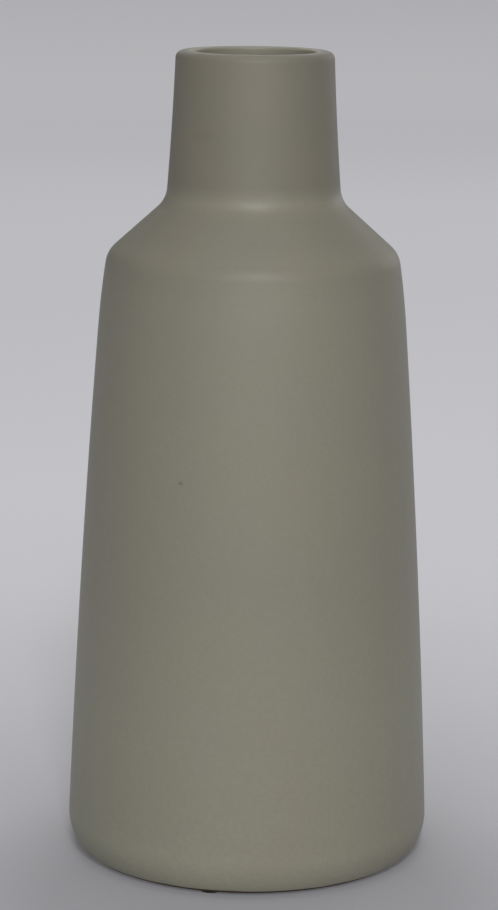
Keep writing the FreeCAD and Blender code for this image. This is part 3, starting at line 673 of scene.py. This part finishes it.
cells = add(tree, "ShaderNodeTexVoronoi", {"Vector": place, "Scale": per_metre(SPECK_CELL)})
cell_tone = add(tree, "ShaderNodeSeparateColor", {"Color": cells.outputs["Color"]}).outputs["Red"]
speck_size = add(tree, "ShaderNodeMapRange", {"Value": cell_tone, "From Min": SPECK_FREE_SHARE,
                                              "To Max": SPECK_REACH})
speckled = add(tree, "ShaderNodeMath", {0: cells.outputs["Distance"], 1: speck_size.outputs["Result"]},
               operation="LESS_THAN").outputs["Value"]
marked = add(tree, "ShaderNodeMath", {0: speckled, 1: SPECK_STRENGTH}, operation="MULTIPLY").outputs["Value"]
for centre, half_wide, half_tall, strength in MARKS:
    marked = add(tree, "ShaderNodeMath", {0: mark(centre, half_wide, half_tall), 1: strength, 2: marked},
                 operation="MULTIPLY_ADD").outputs["Value"]
print("marks:", len(MARKS))

# %% Satin-matt glaze
clouds = add(tree, "ShaderNodeTexNoise", {"Vector": place, "Scale": per_metre(45), "Detail": 2.0})
cloud_mix = add(tree, "ShaderNodeMapRange", {"Value": clouds.outputs["Fac"], "From Min": 0.38, "From Max": 0.62,
                                             "To Max": 0.2})
mottle = add(tree, "ShaderNodeTexNoise", {"Vector": place, "Scale": per_metre(1.6), "Detail": 4.0,
                                          "Roughness": 0.6})
mottle_mix = add(tree, "ShaderNodeMapRange", {"Value": mottle.outputs["Fac"], "From Min": 0.3, "From Max": 0.7,
                                              "To Max": 0.2})
# Painted light and shade: from the darker tone to the paler one by the share of painted light
toned = add(tree, "ShaderNodeMix", {"Factor": depth, "A": colour(PAINTED_SHADE_AND_MOTTLE_TONE), "B": colour(PAINTED_LIGHT_TONE)},
            data_type="RGBA")
clouded = add(tree, "ShaderNodeMix", {"Factor": cloud_mix.outputs["Result"], "A": toned.outputs["Result"],
                                      "B": colour(WARM_TONE)}, data_type="RGBA")
mottled = add(tree, "ShaderNodeMix", {"Factor": mottle_mix.outputs["Result"], "A": clouded.outputs["Result"],
                                      "B": colour(PAINTED_SHADE_AND_MOTTLE_TONE)}, data_type="RGBA")
specked = add(tree, "ShaderNodeMix", {"Factor": marked, "A": mottled.outputs["Result"], "B": colour(SPECK_TONE)},
              data_type="RGBA")
crystals = add(tree, "ShaderNodeTexNoise", {"Vector": place, "Scale": per_metre(0.5), "Detail": 3.0})
ripple = add(tree, "ShaderNodeTexNoise", {"Vector": place, "Scale": per_metre(7), "Detail": 1.0})
waves = add(tree, "ShaderNodeBump", {"Height": ripple.outputs["Fac"], "Strength": 0.25, "Distance": 0.0004})
skin = add(tree, "ShaderNodeBump", {"Height": crystals.outputs["Fac"], "Strength": 0.3, "Distance": 0.00005,
                                    "Normal": waves.outputs["Normal"]})
smoothed = add(tree, "ShaderNodeMapRange", {"Value": depth, "To Min": 0.5, "To Max": 0.35}).outputs["Result"]
sheen = add(tree, "ShaderNodeMath", {0: mottle.outputs["Fac"], 1: 0.06, 2: smoothed}, operation="MULTIPLY_ADD")
shader = add(tree, "ShaderNodeBsdfPrincipled", {
    "Base Color": specked.outputs["Result"], "Roughness": sheen.outputs["Value"], "IOR": 1.45,
    "Normal": skin.outputs["Normal"]})
tree.links.new(shader.outputs["BSDF"], output.inputs["Surface"])
for piece in (coat, patch):
    piece.data.materials.append(satin_glaze)

# %% [markdown]
# ## The liner
# The inside was rinsed with a glossy glaze of the same family, which keeps water in better than a matt one.
# It was poured in, swirled and tipped out, so it ran in long upright streaks and lies thickest on the floor.
# Stretching a noise along Z draws the streaks: its scale is small upwards and large round the vase.

# %% Glossy liner
liner_glaze, tree, place, output = new_finish("glossy_poured_liner_glaze")
drawn_out = add(tree, "ShaderNodeMapping", {"Vector": place, "Scale": (1.0, 1.0, 0.08)}).outputs["Vector"]
streaks = add(tree, "ShaderNodeTexNoise", {"Vector": drawn_out, "Scale": per_metre(9), "Detail": 3.0})
toned = add(tree, "ShaderNodeMix", {"Factor": streaks.outputs["Fac"], "A": colour("#7d7a6b"),
                                    "B": colour("#979484")}, data_type="RGBA")
sag = add(tree, "ShaderNodeBump", {"Height": streaks.outputs["Fac"], "Strength": 0.4, "Distance": 0.0004})
sheen = add(tree, "ShaderNodeMapRange", {"Value": streaks.outputs["Fac"], "To Min": 0.16, "To Max": 0.26})
shader = add(tree, "ShaderNodeBsdfPrincipled", {
    "Base Color": toned.outputs["Result"], "IOR": 1.5, "Roughness": sheen.outputs["Result"],
    "Normal": sag.outputs["Normal"]})
tree.links.new(shader.outputs["BSDF"], output.inputs["Surface"])
liner.data.materials.append(liner_glaze)

# %% [markdown]
# ## Bare stoneware and felt
# Where no glaze lies, the fired clay is dark brown, dry and a little gritty. The felt is nearly black.

# %% Bare stoneware
bare_stoneware, tree, place, output = new_finish("bare_fired_stoneware")
grit = add(tree, "ShaderNodeTexNoise", {"Vector": place, "Scale": per_metre(0.9), "Detail": 5.0})
toned = add(tree, "ShaderNodeMix", {"Factor": grit.outputs["Fac"], "A": colour("#3d3126"),
                                    "B": colour("#5d4b3b")}, data_type="RGBA")
tooth = add(tree, "ShaderNodeBump", {"Height": grit.outputs["Fac"], "Strength": 0.5, "Distance": 0.00015})
shader = add(tree, "ShaderNodeBsdfPrincipled", {"Base Color": toned.outputs["Result"], "Roughness": 0.85,
                                                "Normal": tooth.outputs["Normal"]})
tree.links.new(shader.outputs["BSDF"], output.inputs["Surface"])
clay_body.data.materials.append(bare_stoneware)

# %% Wool felt
wool_felt, tree, place, output = new_finish("pressed_wool_felt")
fibres = add(tree, "ShaderNodeTexNoise", {"Vector": place, "Scale": per_metre(0.25), "Detail": 6.0,
                                          "Distortion": 1.5})
toned = add(tree, "ShaderNodeMix", {"Factor": fibres.outputs["Fac"], "A": colour("#17130f"),
                                    "B": colour("#3a322b")}, data_type="RGBA")
nap = add(tree, "ShaderNodeBump", {"Height": fibres.outputs["Fac"], "Strength": 0.8, "Distance": 0.0002})
shader = add(tree, "ShaderNodeBsdfPrincipled", {"Base Color": toned.outputs["Result"], "Roughness": 0.95,
                                                "Sheen Weight": 0.2, "Normal": nap.outputs["Normal"]})
tree.links.new(shader.outputs["BSDF"], output.inputs["Surface"])
for pad in pads:
    pad.data.materials.append(wool_felt)
